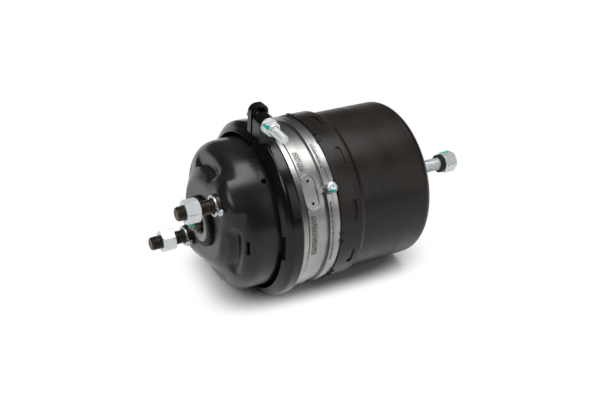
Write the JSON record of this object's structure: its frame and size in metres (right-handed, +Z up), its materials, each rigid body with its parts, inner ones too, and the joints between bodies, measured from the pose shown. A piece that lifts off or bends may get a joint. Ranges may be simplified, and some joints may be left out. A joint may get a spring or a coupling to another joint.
{
  "type": "air brake chamber",
  "caption": "Spring brake chamber with a pressed service housing, V-clamp band, cast adapter, spring can, mounting studs, push rod and drawn-out release bolt.",
  "frame": {"origin": "centre of the mounting plane, where a bracket meets the collars of the two mounting studs", "axes": "+X along the chamber's axis from the mounting plane towards the release bolt, +Z up as the chamber lies, -Y towards the camera"},
  "size_m": [0.399, 0.2076, 0.2398],
  "materials": {
    "housing_black": "semi-gloss black cathodic dip paint on pressed steel",
    "band_black": "semi-gloss black dip paint on rolled band steel",
    "can_black": "satin black powder coat on deep-drawn steel",
    "cast_aluminium": "die-cast, shot-blasted and left bare",
    "machined_aluminium": "turned",
    "bright_zinc": "bright zinc plated",
    "washer_zinc": "bright zinc plated",
    "stud_steel": "phosphated and oiled",
    "rod_steel": "turned and oiled, with a brownish tint",
    "plain_steel": "cold rolled",
    "spring_steel": "black epoxy coated",
    "black_rubber": "moulded",
    "diaphragm_rubber": "fabric-reinforced, moulded",
    "pale_ring": "moulded acetal",
    "guide_plastic": "moulded polyamide",
    "bronze": "sintered"
  },
  "bodies": {
    "chamber": {"service_housing": "housing_black", "stud_plate": "plain_steel", "mounting_studs": "stud_steel", "mounting_nuts": "bright_zinc", "tab_washers": "washer_zinc", "seal_boot": "black_rubber", "seal_ring_insert": "pale_ring", "rod_bellows": "black_rubber", "return_spring": "spring_steel", "diaphragm": "diaphragm_rubber", "clamp_band": "band_black", "clamp_bolt": "bright_zinc", "clamp_nut": "bright_zinc", "adapter": "cast_aluminium", "vent_screw": "bright_zinc", "rod_guide_bush": "bronze", "rod_seals": "black_rubber", "can_o_ring": "black_rubber", "spring_can": "can_black", "release_bush": "plain_steel", "power_spring": "spring_steel"},
    "push_rod_unit": {"push_rod": "rod_steel", "push_plate": "plain_steel"},
    "spring_piston": {"piston": "machined_aluminium", "piston_seal": "black_rubber", "piston_guide_ring": "guide_plastic", "rod_tube": "plain_steel", "rod_end_cap": "plain_steel", "thrust_washer": "plain_steel"},
    "release_screw": {"release_bolt": "bright_zinc", "release_bolt_seal": "black_rubber"}
  },
  "joints": [
    {"name": "spring_piston_slide", "type": "slide", "parent": "chamber", "child": "spring_piston", "axis": [-1, 0, 0], "range_m": [0, 0.057], "deforming": ["power_spring"]},
    {"name": "push_rod_slide", "type": "slide", "parent": "chamber", "child": "push_rod_unit", "axis": [-1, 0, 0], "range_m": [0, 0.057], "deforming": ["return_spring", "rod_bellows", "diaphragm"]},
    {"name": "release_bolt_turn", "type": "hinge", "parent": "spring_piston", "child": "release_screw", "pos_m": [0.3, 0, 0], "axis": [-1, 0, 0], "range_deg": [0, 10260.01]}
  ],
  "couplings": [
    {"joint": "push_rod_slide", "follows": "spring_piston_slide", "ratio": 1},
    {"joint": "release_bolt_turn", "follows": "spring_piston_slide", "rad_per_m": 3141.6}
  ]
}
